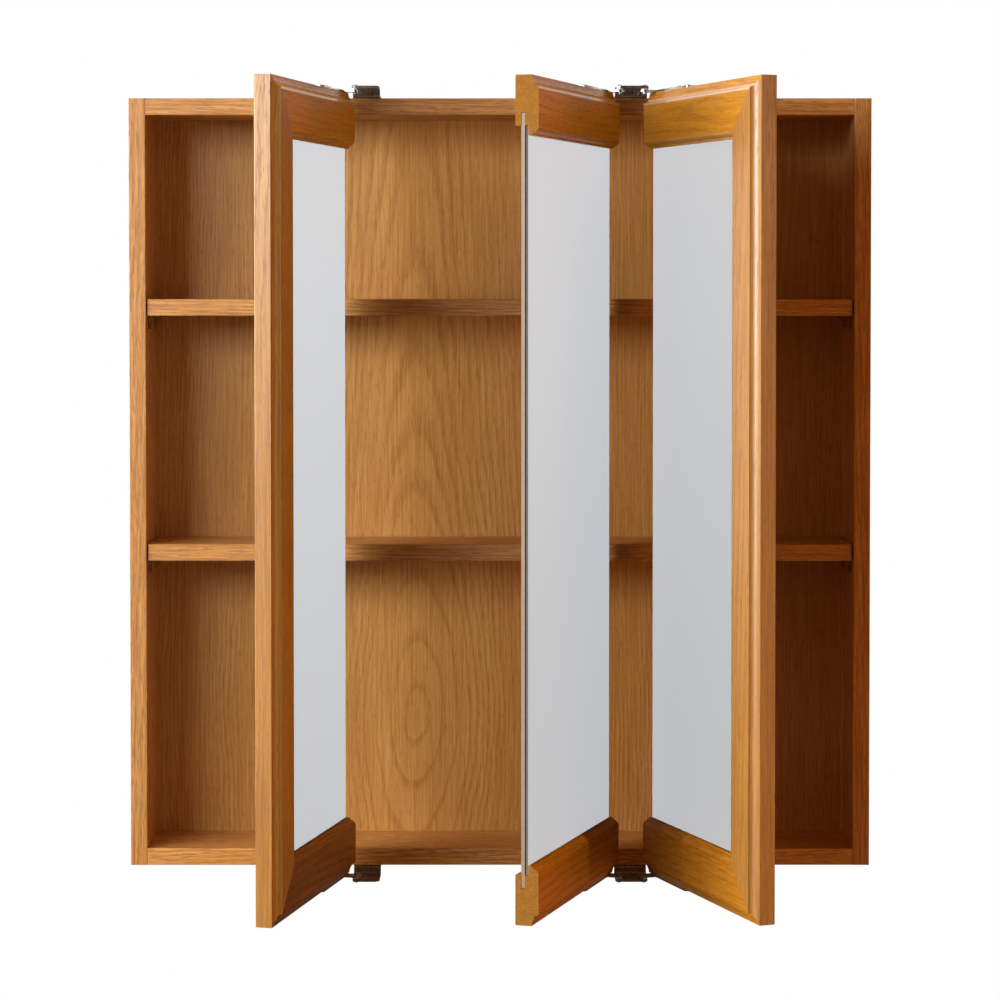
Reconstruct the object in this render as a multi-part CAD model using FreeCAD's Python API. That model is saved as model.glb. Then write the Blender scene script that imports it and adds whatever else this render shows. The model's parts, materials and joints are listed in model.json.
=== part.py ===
"""Mirrored medicine cabinet with three hinged doors, as a wall-hung assembly of separate pieces.

The origin is the centre of the back, on the wall plane. +X is to the right as seen from the
front, the front faces -Y and +Z is up. Lengths are in millimetres and angles in degrees.
The doors stand open. Each is drawn closed in its own frame and then turned on its hinge pins.
"""
import FreeCAD
import Part

import math
import os

Vector = FreeCAD.Vector
ORIGIN = Vector(0, 0, 0)
X_AXIS = Vector(1, 0, 0)
Y_AXIS = Vector(0, 1, 0)
Z_AXIS = Vector(0, 0, 1)

# Case
CASE_WIDTH = 732.0
CASE_HEIGHT = 758.8
CASE_DEPTH = 97.0
PANEL_THICKNESS = 16.5
EDGE_EASE = 0.8
BACK_THICKNESS = 3.2
BACK_RECESS_WIDTH = 8.0
BACK_PANEL_GAP = 0.5
WALL_HOLE_DIAMETER = 5.0
WALL_HOLE_SPACING_X = 406.4
WALL_HOLE_INSET = 32.9

# Dowels in the corner joints
DOWEL_DIAMETER = 8.0
DOWEL_IN_SIDE = 11.0
DOWEL_IN_END = 21.0
DOWEL_INSET = 22.0
DOWEL_CLEARANCE = 0.05
DOWEL_HOLE_SPARE = 0.8

# Shelves and their clips
SHELF_THICKNESS = 16.5
SHELF_END_GAP = 1.5
SHELF_SETBACK = 2.0
SHELF_BACK_GAP = 1.0
UPPER_SHELF_HEIGHT = 528.0
LOWER_SHELF_HEIGHT = 285.5
CLIP_PEG_DIAMETER = 6.3
CLIP_PEG_LENGTH = 9.0
CLIP_PEG_DROP = 7.5
CLIP_PEG_CLEARANCE = 0.05
CLIP_WIDTH = 11.0
CLIP_HEIGHT = 13.0
CLIP_REACH = 12.0
CLIP_THICKNESS = 1.8
CLIP_GUSSET = 2.0
CLIP_INSET = 20.0

# Doors
DOOR_SIDE_OVERHANG = 19.75
DOOR_END_OVERLAY = 4.0
DOOR_SEAM = 2.4
DOOR_GAP = 3.0
LEFT_DOOR_ANGLE = 77.2
MIDDLE_DOOR_ANGLE = 71.2
RIGHT_DOOR_ANGLE = 70.0

# Cross-section of the door rails and stiles
FRAME_WIDTH = 54.5
FRAME_THICKNESS = 22.0
FRAME_EASE = 1.0
OUTER_EDGE_FLAT = 15.4
OUTER_LIP_WIDTH = 7.0
OUTER_LIP_RISE = 2.6
QUIRK_WIDTH = 0.9
QUIRK_DEPTH = 0.7
OUTER_BEAD_WIDTH = 2.6
INNER_MOULD_WIDTH = 6.6
INNER_BEAD_WIDTH = 2.7
INNER_BEAD_RISE = 2.6
MOULD_BOW = 0.5
LIP_TIP = 3.4
BACK_LIP_THICKNESS = 5.5
BACK_LIP_SHORT = 8.8
BACKING_THICKNESS = 3.4
BACKING_GROOVE_DEPTH = 12.2
BACKING_EDGE_GAP = 0.6
MIRROR_THICKNESS = 3.0
MIRROR_CLEARANCE = 0.3
MIRROR_TUCK = 8.4
MIRROR_EDGE_GAP = 0.6
MIRROR_END_INSET = 0.4

# Bumper pads on the backs of the doors
BUMPER_DIAMETER = 9.5
BUMPER_CLEARANCE = 0.4

# Hinges: a bracket on the case carries the pin, a leaf on the door turns about it
STEEL_THICKNESS = 2.5
BEND_RADIUS = 1.0
PIN_DIAMETER = 4.5
PIN_INSET = 11.0
PIN_FORWARD = 3.5
PIN_PAST_LEAF = 2.0
PIN_HEAD_DIAMETER = 7.0
PIN_HEAD_HEIGHT = 1.5
PIN_SEAT_CLEARANCE = 0.02
PIN_RUNNING_CLEARANCE = 0.05
PIN_TIP_CHAMFER = 0.5
WASHER_DIAMETER = 7.2
WASHER_THICKNESS = 1.2
RUNNING_GAP = 0.3
BRACKET_EDGE = 3.6
BRACKET_NOSE = 5.0
BRACKET_TAPER = 4.0
BRACKET_TAIL = 23.0
FLANGE_DEPTH = 38.0
BRACKET_CORNER = 3.0
LEAF_THICKNESS = 2.0
LEAF_WIDTH = 12.0
LEAF_BACK = 3.0
LEAF_END = 5.0
LEAF_LENGTH = 88.0
LEAF_EAR = 11.0
LEAF_CORNER = 2.5
LEAF_SCREW_FIRST = 38.0
LEAF_SCREW_LAST = 78.0
LEAF_SCREW_COUNT = 3

# Screws
SCREW_DIAMETER = 4.0
SCREW_LENGTH = 14.0
SCREW_TIP = 3.0
SCREW_CLEARANCE = 0.1
SCREW_HEAD_DIAMETER = 7.6
SCREW_HEAD_HEIGHT = 1.6

# Two places closer than this are the same place
SAME_PLACE = 1e-6

# Places worked out from the sizes above
HALF_WIDTH = CASE_WIDTH / 2
HALF_HEIGHT = CASE_HEIGHT / 2
INNER_HALF_WIDTH = HALF_WIDTH - PANEL_THICKNESS
INNER_HALF_HEIGHT = HALF_HEIGHT - PANEL_THICKNESS
WALL_HOLE_SPACING_Z = 2 * (INNER_HALF_HEIGHT - WALL_HOLE_INSET)
SHELF_HEIGHTS = {"upper": UPPER_SHELF_HEIGHT, "lower": LOWER_SHELF_HEIGHT}
OPEN_ANGLES = {"left": LEFT_DOOR_ANGLE, "middle": MIDDLE_DOOR_ANGLE, "right": RIGHT_DOOR_ANGLE}
CASE_FRONT = -CASE_DEPTH
DOOR_BACK = CASE_FRONT - DOOR_GAP
DOOR_HEIGHT = CASE_HEIGHT + 2 * DOOR_END_OVERLAY
DOOR_WIDTH = (CASE_WIDTH + 2 * DOOR_SIDE_OVERHANG - 2 * DOOR_SEAM) / 3
SEAM_X = (DOOR_WIDTH + DOOR_SEAM) / 2
HINGE_EDGE_X = {
    "left": -SEAM_X - DOOR_SEAM / 2,
    "middle": SEAM_X - DOOR_SEAM / 2,
    "right": SEAM_X + DOOR_SEAM / 2,
}
PIN_FROM_DOOR_BACK = FRAME_THICKNESS + PIN_FORWARD
PIN_Y = DOOR_BACK - PIN_FROM_DOOR_BACK
PIN_X = {
    "left": HINGE_EDGE_X["left"] - PIN_INSET,
    "middle": HINGE_EDGE_X["middle"] - PIN_INSET,
    "right": HINGE_EDGE_X["right"] + PIN_INSET,
}
GROOVE_BACK = BACK_LIP_THICKNESS
GROOVE_FRONT = GROOVE_BACK + BACKING_THICKNESS
GROOVE_FLOOR = FRAME_WIDTH - BACK_LIP_SHORT - BACKING_GROOVE_DEPTH
MIRROR_EDGE = FRAME_WIDTH - MIRROR_TUCK
LEAF_TOP = DOOR_END_OVERLAY + LEAF_THICKNESS
TONGUE_LOW = LEAF_TOP + RUNNING_GAP + WASHER_THICKNESS
TONGUE_HIGH = TONGUE_LOW + STEEL_THICKNESS


def box(low, high):
    """Box between two opposite corners, each given as (x, y, z)."""
    size = [far - near for near, far in zip(low, high)]
    return Part.makeBox(*size, Vector(*low))


def bar(diameter, start, end):
    """Round bar between two points, each given as (x, y, z)."""
    axis = Vector(*end) - Vector(*start)
    return Part.makeCylinder(diameter / 2, axis.Length, Vector(*start), axis)


def closed_face(start, steps):
    """Face inside an outline: a step of one point is a line, one of two points an arc through the first."""
    edges = []
    here = start
    if steps[-1][-1] != start:
        steps = steps + [(start,)]
    for step in steps:
        target = step[-1]
        if len(step) == 2:
            edges.append(Part.Arc(here, step[0], target).toShape())
        else:
            edges.append(Part.makeLine(here, target))
        here = target
    return Part.Face(Part.Wire(edges))


def rounded_face(corners):
    """Face inside a polygon of (point, radius) corners; a radius of 0 leaves the corner sharp."""
    steps = []
    for index, (point, radius) in enumerate(corners):
        if radius == 0:
            steps.append((point,))
            continue
        before = (corners[index - 1][0] - point).normalize()
        after = (corners[(index + 1) % len(corners)][0] - point).normalize()
        half_angle = before.getAngle(after) / 2
        bisector = (before + after).normalize()
        reach = radius / math.tan(half_angle)
        middle = point + bisector * (radius / math.sin(half_angle) - radius)
        steps.append((point + before * reach,))
        steps.append((middle, point + after * reach))
    return closed_face(steps[-1][-1], steps)


def headed_pin(diameter, length, head_diameter, head_height, tip):
    """Pin or screw along Z: domed head above z 0, shank below it with a bevelled tip."""
    radius = diameter / 2
    tip_radius = max(radius - tip, radius / 4)
    head_radius = head_diameter / 2
    dome_radius = (head_radius ** 2 + head_height ** 2) / (2 * head_height)
    half_sweep = math.asin(head_radius / dome_radius) / 2
    shoulder = Vector(dome_radius * math.sin(half_sweep), 0,
                      head_height - dome_radius * (1 - math.cos(half_sweep)))
    section = closed_face(Vector(0, 0, -length), [
        (Vector(tip_radius, 0, -length),),
        (Vector(radius, 0, tip - length),),
        (Vector(radius, 0, 0),),
        (Vector(head_radius, 0, 0),),
        (shoulder, Vector(0, 0, head_height)),
    ])
    return section.revolve(ORIGIN, Z_AXIS, 360)


def moved(shape, x, y, z):
    """Copy of a shape shifted by x, y and z."""
    return shape.translated(Vector(x, y, z))


def flipped(shape):
    """Mirror image of a shape from above to below the case's middle."""
    return shape.mirror(ORIGIN, Z_AXIS)


def above_and_below(name, shape):
    """Nodes for a piece at the top of the case and its mirror image at the bottom."""
    return {name + "_top": shape, name + "_bottom": flipped(shape)}


def eased(panel, along):
    """Panel whose front edges that run along an axis have a small round."""
    front = panel.BoundBox.YMin
    edges = []
    for edge in panel.Edges:
        on_front = edge.BoundBox.YMax - front < SAME_PLACE
        direction = edge.tangentAt(edge.FirstParameter)
        if on_front and direction.cross(along).Length < SAME_PLACE:
            edges.append(edge)
    return panel.makeFillet(EDGE_EASE, edges)


def dowel_places():
    """Dowel centres as (side, z, y): two in each corner joint."""
    middle_z = HALF_HEIGHT - PANEL_THICKNESS / 2
    for side in (-1, 1):
        for z in (-middle_z, middle_z):
            for y in (CASE_FRONT + DOWEL_INSET, -DOWEL_INSET):
                yield side, z, y


def dowel_bar(side, z, y, diameter, spare):
    """Dowel across a corner joint, or its hole with a little spare depth at each end."""
    outer = side * (INNER_HALF_WIDTH + DOWEL_IN_SIDE + spare)
    inner = side * (INNER_HALF_WIDTH - DOWEL_IN_END - spare)
    return bar(diameter, (inner, y, z), (outer, y, z))


def clip_places(shelf):
    """Clip places under a shelf as (side, y, z), with z at the shelf's underside."""
    underside = SHELF_HEIGHTS[shelf] - INNER_HALF_HEIGHT
    front = CASE_FRONT + SHELF_SETBACK + CLIP_INSET
    back = -BACK_THICKNESS - SHELF_BACK_GAP - CLIP_INSET
    for side in (-1, 1):
        for y in (front, back):
            yield side, y, underside


def make_case():
    """The five panels of the case and the dowels in its corners."""
    recess = box(
        (-INNER_HALF_WIDTH - BACK_RECESS_WIDTH, -BACK_THICKNESS, -INNER_HALF_HEIGHT - BACK_RECESS_WIDTH),
        (INNER_HALF_WIDTH + BACK_RECESS_WIDTH, 0, INNER_HALF_HEIGHT + BACK_RECESS_WIDTH),
    )
    hole_diameter = DOWEL_DIAMETER + 2 * DOWEL_CLEARANCE
    dowel_holes = [dowel_bar(*place, hole_diameter, DOWEL_HOLE_SPARE) for place in dowel_places()]
    peg_holes = []
    for shelf in SHELF_HEIGHTS:
        for side, y, z in clip_places(shelf):
            hole_z = z - CLIP_PEG_DROP
            mouth = side * INNER_HALF_WIDTH
            end = side * (INNER_HALF_WIDTH + CLIP_PEG_LENGTH + CLIP_PEG_CLEARANCE)
            peg_diameter = CLIP_PEG_DIAMETER + 2 * CLIP_PEG_CLEARANCE
            peg_holes.append(bar(peg_diameter, (mouth, y, hole_z), (end, y, hole_z)))

    left = box((-HALF_WIDTH, CASE_FRONT, -HALF_HEIGHT), (-INNER_HALF_WIDTH, 0, HALF_HEIGHT))
    right = box((INNER_HALF_WIDTH, CASE_FRONT, -HALF_HEIGHT), (HALF_WIDTH, 0, HALF_HEIGHT))
    top = box((-INNER_HALF_WIDTH, CASE_FRONT, INNER_HALF_HEIGHT), (INNER_HALF_WIDTH, 0, HALF_HEIGHT))
    holes = above_and_below("bracket", Part.makeCompound(bracket_screw_holes()))
    back = box(
        (-INNER_HALF_WIDTH - BACK_RECESS_WIDTH + BACK_PANEL_GAP, -BACK_THICKNESS,
         -INNER_HALF_HEIGHT - BACK_RECESS_WIDTH + BACK_PANEL_GAP),
        (INNER_HALF_WIDTH + BACK_RECESS_WIDTH - BACK_PANEL_GAP, 0,
         INNER_HALF_HEIGHT + BACK_RECESS_WIDTH - BACK_PANEL_GAP),
    )
    for x in (-WALL_HOLE_SPACING_X / 2, WALL_HOLE_SPACING_X / 2):
        for z in (-WALL_HOLE_SPACING_Z / 2, WALL_HOLE_SPACING_Z / 2):
            back = back.cut(bar(WALL_HOLE_DIAMETER, (x, -BACK_THICKNESS, z), (x, 0, z)))
    dowels = [dowel_bar(*place, DOWEL_DIAMETER, 0) for place in dowel_places()]
    return {
        "left_side_panel": eased(left, Z_AXIS).cut([recess] + dowel_holes + peg_holes),
        "right_side_panel": eased(right, Z_AXIS).cut([recess] + dowel_holes + peg_holes),
        "top_panel": eased(top, X_AXIS).cut([recess, holes["bracket_top"]] + dowel_holes),
        "bottom_panel": eased(flipped(top), X_AXIS).cut([recess, holes["bracket_bottom"]] + dowel_holes),
        "back_panel": back,
        "corner_dowels": Part.makeCompound(dowels),
    }


def make_clip():
    """Shelf clip on the right side panel: plate at x 0, tongue under the shelf, gusset and peg."""
    low = -CLIP_HEIGHT
    half = CLIP_WIDTH / 2
    plate = box((-CLIP_THICKNESS, -half, low), (0, half, 0))
    tongue = box((-CLIP_REACH, -half, -CLIP_THICKNESS), (0, half, 0))
    web = closed_face(Vector(-CLIP_THICKNESS, -CLIP_GUSSET / 2, low), [
        (Vector(-CLIP_THICKNESS, -CLIP_GUSSET / 2, -CLIP_THICKNESS),),
        (Vector(-CLIP_REACH, -CLIP_GUSSET / 2, -CLIP_THICKNESS),),
    ]).extrude(Vector(0, CLIP_GUSSET, 0))
    peg = bar(CLIP_PEG_DIAMETER, (-CLIP_THICKNESS, 0, -CLIP_PEG_DROP), (CLIP_PEG_LENGTH, 0, -CLIP_PEG_DROP))
    return plate.fuse([tongue, web, peg]).removeSplitter()


def make_shelves():
    """Two loose shelves and the four clips under each."""
    clip = make_clip()
    half_length = INNER_HALF_WIDTH - SHELF_END_GAP
    pieces = {}
    for shelf, height in SHELF_HEIGHTS.items():
        underside = height - INNER_HALF_HEIGHT
        board = box(
            (-half_length, CASE_FRONT + SHELF_SETBACK, underside),
            (half_length, -BACK_THICKNESS - SHELF_BACK_GAP, underside + SHELF_THICKNESS),
        )
        pieces[shelf + "_shelf"] = eased(board, X_AXIS)
        clips = []
        for side, y, z in clip_places(shelf):
            handed = clip if side > 0 else clip.mirror(ORIGIN, X_AXIS)
            clips.append(moved(handed, side * INNER_HALF_WIDTH, y, z))
        pieces[shelf + "_shelf_clips"] = Part.makeCompound(clips)
    return pieces


def frame_section():
    """Cross-section of a rail: back face at y 0, outer edge at z 0, mirror lip at the bottom."""
    def at(inward, forward):
        return Vector(0, -forward, -inward)

    def bowed(start, end, bow):
        middle = (start + end) / 2
        across = (end - start).cross(X_AXIS).normalize()
        return middle + across * bow

    rabbet_front = GROOVE_FRONT + MIRROR_THICKNESS + MIRROR_CLEARANCE
    rabbet_floor = MIRROR_EDGE - MIRROR_EDGE_GAP
    back_lip_edge = FRAME_WIDTH - BACK_LIP_SHORT
    lip_front = rabbet_front + LIP_TIP
    outer_lip_front = OUTER_EDGE_FLAT + OUTER_LIP_RISE
    quirk_floor = OUTER_LIP_WIDTH + QUIRK_WIDTH
    lip = at(FRAME_WIDTH, lip_front)
    inner_bead = at(FRAME_WIDTH - INNER_BEAD_WIDTH, lip_front + INNER_BEAD_RISE)
    face_inner = at(FRAME_WIDTH - INNER_MOULD_WIDTH, FRAME_THICKNESS)
    crest = at(quirk_floor + OUTER_BEAD_WIDTH, FRAME_THICKNESS)
    quirk = at(quirk_floor, outer_lip_front - QUIRK_DEPTH)
    outer_lip = at(OUTER_LIP_WIDTH, outer_lip_front)
    arris = at(0, OUTER_EDGE_FLAT)
    ease_end = at(FRAME_EASE, 0)
    ease_inset = FRAME_EASE * (1 - math.sqrt(1 / 2))
    return closed_face(ease_end, [
        (at(back_lip_edge, 0),),
        (at(back_lip_edge, GROOVE_BACK),),
        (at(GROOVE_FLOOR, GROOVE_BACK),),
        (at(GROOVE_FLOOR, GROOVE_FRONT),),
        (at(rabbet_floor, GROOVE_FRONT),),
        (at(rabbet_floor, rabbet_front),),
        (at(FRAME_WIDTH, rabbet_front),),
        (lip,),
        (bowed(lip, inner_bead, MOULD_BOW), inner_bead),
        (bowed(inner_bead, face_inner, -MOULD_BOW), face_inner),
        (crest,),
        (bowed(crest, quirk, MOULD_BOW), quirk),
        (outer_lip,),
        (bowed(outer_lip, arris, MOULD_BOW), arris),
        (at(0, FRAME_EASE),),
        (at(ease_inset, ease_inset), ease_end),
    ])


def frame_member(length, mitre_start, mitre_end):
    """Rail along +X from the origin with its outer edge on top, mitred at the ends asked for."""
    member = frame_section().extrude(Vector(length, 0, 0))
    margin = FRAME_THICKNESS
    deep = FRAME_WIDTH + margin

    def wedge(end, inward):
        outside = end - inward * margin
        return closed_face(Vector(outside, margin, margin), [
            (Vector(end + inward * deep, margin, -deep),),
            (Vector(outside, margin, -deep),),
        ]).extrude(Vector(0, -FRAME_THICKNESS - 2 * margin, 0))

    if mitre_start:
        member = member.cut(wedge(0, 1))
    if mitre_end:
        member = member.cut(wedge(length, -1))
    return member


def leaf_screw_places():
    """Distances of the leaf screws from the door's hinge edge."""
    step = (LEAF_SCREW_LAST - LEAF_SCREW_FIRST) / (LEAF_SCREW_COUNT - 1)
    return [LEAF_SCREW_FIRST + index * step for index in range(LEAF_SCREW_COUNT)]


def make_leaf():
    """Hinge leaf on a door's top edge, with an ear that reaches forward to the pin."""
    base = DOOR_HEIGHT / 2
    rise = Vector(0, 0, LEAF_THICKNESS)
    strip_front = -LEAF_BACK - LEAF_WIDTH
    strip = rounded_face([
        (Vector(-LEAF_LENGTH, -LEAF_BACK, base), LEAF_CORNER),
        (Vector(-LEAF_END, -LEAF_BACK, base), LEAF_CORNER),
        (Vector(-LEAF_END, strip_front, base), 0),
        (Vector(-LEAF_LENGTH, strip_front, base), LEAF_CORNER),
    ]).extrude(rise)
    neck = box(
        (-PIN_INSET - LEAF_EAR / 2, -PIN_FROM_DOOR_BACK, base),
        (-PIN_INSET + LEAF_EAR / 2, strip_front + LEAF_CORNER, base + LEAF_THICKNESS),
    )
    pin_place = (-PIN_INSET, -PIN_FROM_DOOR_BACK)
    ear = bar(LEAF_EAR, (*pin_place, base), (*pin_place, base + LEAF_THICKNESS))
    pin_hole_diameter = PIN_DIAMETER + 2 * PIN_RUNNING_CLEARANCE
    cuts = [bar(pin_hole_diameter, (*pin_place, base), (*pin_place, base + LEAF_THICKNESS))]
    for distance in leaf_screw_places():
        place = (-distance, -LEAF_BACK - LEAF_WIDTH / 2)
        cuts.append(bar(SCREW_DIAMETER + 2 * SCREW_CLEARANCE, (*place, base), (*place, base + LEAF_THICKNESS)))
    return strip.fuse([neck, ear]).removeSplitter().cut(cuts)


def make_screw():
    """Pan-head wood screw along Z with its head above z 0."""
    return headed_pin(SCREW_DIAMETER, SCREW_LENGTH, SCREW_HEAD_DIAMETER, SCREW_HEAD_HEIGHT, SCREW_TIP)


def screw_hole(x, y, mouth):
    """Hole for a screw that enters a piece downwards at a height of mouth."""
    return bar(SCREW_DIAMETER + 2 * SCREW_CLEARANCE, (x, y, mouth - SCREW_LENGTH), (x, y, mouth))


def make_door(door):
    """Pieces of one closed door in its own frame: hinge edge at x 0, back at y 0, free edge at -X."""
    has_stile = door != "middle"
    half = DOOR_HEIGHT / 2
    screw_y = -LEAF_BACK - LEAF_WIDTH / 2
    holes = [screw_hole(-distance, screw_y, half) for distance in leaf_screw_places()]
    rail = frame_member(DOOR_WIDTH, has_stile, False)
    rail = moved(rail, -DOOR_WIDTH, 0, half).cut(holes)
    pieces = {"top_rail": rail, "bottom_rail": flipped(rail)}
    backing_edge = GROOVE_FLOOR + BACKING_EDGE_GAP
    if has_stile:
        stile = frame_member(DOOR_HEIGHT, True, True)
        stile.rotate(ORIGIN, Y_AXIS, -90)
        pieces["stile"] = moved(stile, -DOOR_WIDTH, 0, -half)
    mirror_free = MIRROR_EDGE if has_stile else MIRROR_END_INSET
    backing_free = backing_edge if has_stile else MIRROR_END_INSET
    pieces["mirror"] = box(
        (mirror_free - DOOR_WIDTH, -GROOVE_FRONT - MIRROR_THICKNESS, MIRROR_EDGE - half),
        (-MIRROR_END_INSET, -GROOVE_FRONT, half - MIRROR_EDGE),
    )
    pieces["backing"] = box(
        (backing_free - DOOR_WIDTH, -GROOVE_FRONT, backing_edge - half),
        (-MIRROR_END_INSET, -GROOVE_BACK, half - backing_edge),
    )
    pieces.update(above_and_below("leaf", make_leaf()))
    screws = []
    for distance in leaf_screw_places():
        screw = moved(make_screw(), -distance, screw_y, half + LEAF_THICKNESS)
        screws += [screw, flipped(screw)]
    pieces["leaf_screws"] = Part.makeCompound(screws)
    bumper_x = DOOR_SIDE_OVERHANG + PANEL_THICKNESS / 2 - DOOR_WIDTH
    bumper_z = HALF_HEIGHT - PANEL_THICKNESS / 2
    pad = bar(BUMPER_DIAMETER, (bumper_x, 0, bumper_z), (bumper_x, DOOR_GAP - BUMPER_CLEARANCE, bumper_z))
    pieces["bumpers"] = Part.makeCompound([pad, flipped(pad)])
    return pieces


def hang_door(door):
    """Nodes of one door, turned open on its pins and put in its place on the case."""
    nodes = {}
    for name, shape in make_door(door).items():
        shape.rotate(Vector(-PIN_INSET, -PIN_FROM_DOOR_BACK, 0), Z_AXIS, OPEN_ANGLES[door])
        if door == "right":
            shape = shape.mirror(ORIGIN, X_AXIS)
        nodes[door + "_door_" + name] = moved(shape, HINGE_EDGE_X[door], DOOR_BACK, 0)
    return nodes


def bracket_spans():
    """Left and right edges of the single and the double bracket."""
    return {
        "single": (PIN_X["left"] - BRACKET_EDGE, PIN_X["left"] + BRACKET_TAIL),
        "double": (PIN_X["middle"] - BRACKET_EDGE, PIN_X["right"] + BRACKET_EDGE),
    }


def bracket_screw_places(bracket):
    """Two screw places on a bracket's flange as (x, y)."""
    left, right = bracket_spans()[bracket]
    y = CASE_FRONT + FLANGE_DEPTH / 2
    quarter = (right - left) / 4
    return [(left + quarter, y), (right - quarter, y)]


def bracket_screw_holes():
    """Holes in the top panel for the screws of both brackets."""
    holes = []
    for bracket in bracket_spans():
        for x, y in bracket_screw_places(bracket):
            holes.append(screw_hole(x, y, HALF_HEIGHT))
    return holes


def make_bracket(bracket):
    """Bent steel bracket: flange on the case top, web at its front edge, tongue over the doors."""
    left, right = bracket_spans()[bracket]
    nose = PIN_Y - BRACKET_NOSE
    tail = CASE_FRONT + FLANGE_DEPTH
    outside = BEND_RADIUS + STEEL_THICKNESS
    low = HALF_HEIGHT + TONGUE_LOW
    high = HALF_HEIGHT + TONGUE_HIGH
    bent = rounded_face([
        (Vector(left, tail, HALF_HEIGHT), 0),
        (Vector(left, CASE_FRONT, HALF_HEIGHT), outside),
        (Vector(left, CASE_FRONT, low), BEND_RADIUS),
        (Vector(left, nose, low), 0),
        (Vector(left, nose, high), 0),
        (Vector(left, CASE_FRONT + STEEL_THICKNESS, high), outside),
        (Vector(left, CASE_FRONT + STEEL_THICKNESS, HALF_HEIGHT + STEEL_THICKNESS), BEND_RADIUS),
        (Vector(left, tail, HALF_HEIGHT + STEEL_THICKNESS), 0),
    ]).extrude(Vector(right - left, 0, 0))
    outline = rounded_face([
        (Vector(left, tail, HALF_HEIGHT), BRACKET_CORNER),
        (Vector(left, nose + BRACKET_TAPER, HALF_HEIGHT), 0),
        (Vector(left + BRACKET_TAPER, nose, HALF_HEIGHT), 0),
        (Vector(right - BRACKET_TAPER, nose, HALF_HEIGHT), 0),
        (Vector(right, nose + BRACKET_TAPER, HALF_HEIGHT), 0),
        (Vector(right, tail, HALF_HEIGHT), BRACKET_CORNER),
    ]).extrude(Vector(0, 0, TONGUE_HIGH))
    doors = ["left"] if bracket == "single" else ["middle", "right"]
    pin_diameter = PIN_DIAMETER + 2 * PIN_SEAT_CLEARANCE
    cuts = [bar(pin_diameter, (PIN_X[door], PIN_Y, low), (PIN_X[door], PIN_Y, high)) for door in doors]
    for x, y in bracket_screw_places(bracket):
        cuts.append(screw_hole(x, y, HALF_HEIGHT + SCREW_LENGTH))
    return bent.common(outline).cut(cuts)


def make_hinges():
    """Brackets, their screws, and the pin and washer of each door at top and bottom."""
    pieces = {}
    screws = []
    washers = []
    for bracket in bracket_spans():
        pieces.update(above_and_below(bracket + "_bracket", make_bracket(bracket)))
        for x, y in bracket_screw_places(bracket):
            screw = moved(make_screw(), x, y, HALF_HEIGHT + STEEL_THICKNESS)
            screws += [screw, flipped(screw)]
    pin_length = TONGUE_HIGH - DOOR_END_OVERLAY + PIN_PAST_LEAF
    pin = headed_pin(PIN_DIAMETER, pin_length, PIN_HEAD_DIAMETER, PIN_HEAD_HEIGHT, PIN_TIP_CHAMFER)
    for door, x in PIN_X.items():
        pieces.update(above_and_below(door + "_door_pin", moved(pin, x, PIN_Y, HALF_HEIGHT + TONGUE_HIGH)))
        under = (x, PIN_Y, HALF_HEIGHT + TONGUE_LOW - WASHER_THICKNESS)
        over = (x, PIN_Y, HALF_HEIGHT + TONGUE_LOW)
        bore = PIN_DIAMETER + 2 * PIN_RUNNING_CLEARANCE
        washer = bar(WASHER_DIAMETER, under, over).cut(bar(bore, under, over))
        washers += [washer, flipped(washer)]
    pieces["bracket_screws"] = Part.makeCompound(screws)
    pieces["hinge_washers"] = Part.makeCompound(washers)
    return pieces


def main():
    """Builds every node and writes each to its own file."""
    nodes = {}
    nodes.update(make_case())
    nodes.update(make_shelves())
    nodes.update(make_hinges())
    for door in OPEN_ANGLES:
        nodes.update(hang_door(door))
    os.makedirs("parts", exist_ok=True)
    for node, shape in nodes.items():
        shape.exportStep("parts/" + node + ".step")


main()
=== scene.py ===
# %% [markdown]
# # A mirrored medicine cabinet in honey oak
#
# The construction is finished before this lesson starts: every panel, rail, mirror and hinge
# is a solid that was drawn to size elsewhere. Here the pieces get their looks. We load them as
# a fixed frame, set up the camera, floor and lamps, then build one finish after another and
# put each on its pieces.

import json
import math

import bmesh
import bpy
from mathutils import Matrix, Vector


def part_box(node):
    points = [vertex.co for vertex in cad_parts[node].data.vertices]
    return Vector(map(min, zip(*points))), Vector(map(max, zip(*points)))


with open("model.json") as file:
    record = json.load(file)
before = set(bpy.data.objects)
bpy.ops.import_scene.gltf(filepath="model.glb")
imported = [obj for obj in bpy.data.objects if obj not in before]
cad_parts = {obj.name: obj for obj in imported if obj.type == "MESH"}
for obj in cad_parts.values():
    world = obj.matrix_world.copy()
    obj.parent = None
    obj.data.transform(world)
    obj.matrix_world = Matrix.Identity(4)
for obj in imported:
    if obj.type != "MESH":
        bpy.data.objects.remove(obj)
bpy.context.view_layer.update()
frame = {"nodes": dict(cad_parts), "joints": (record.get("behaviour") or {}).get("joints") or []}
nodes = frame["nodes"]
bpy.context.scene.view_settings.view_transform = "Standard"
print("pieces from the frame:", len(nodes))

# %% [markdown]
# ## How far each door stands open
#
# The doors are drawn standing open, so their wood grain has to be turned with them. The hinge
# joints already know the angle: closing a door is the lower end of its range. A door that
# hangs from its left edge has a hinge axis that points down, and there the sign changes.

# %% Door angles from the hinge joints
door_turn = {}
for joint in frame["joints"]:
    open_angle = -math.radians(joint["range_deg"][0])
    door_turn[joint["child"]] = open_angle * joint["axis"][2]
    print(joint["child"], "is turned", round(math.degrees(door_turn[joint["child"]]), 1), "degrees")

# %% [markdown]
# ## Camera
#
# The photograph looks straight at the case from a little above its middle, and the uprights
# stay parallel. That is a camera with its lens shifted down. A small tilt takes part of the
# work off the shift, because a large shift would crop views from other sides.

# %% Camera
LENS = 102.95
CAMERA_PLACE = Vector((0.0, -2.919, 0.188))
LENS_SHIFT = -0.13
TILT = math.radians(1.549)

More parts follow.
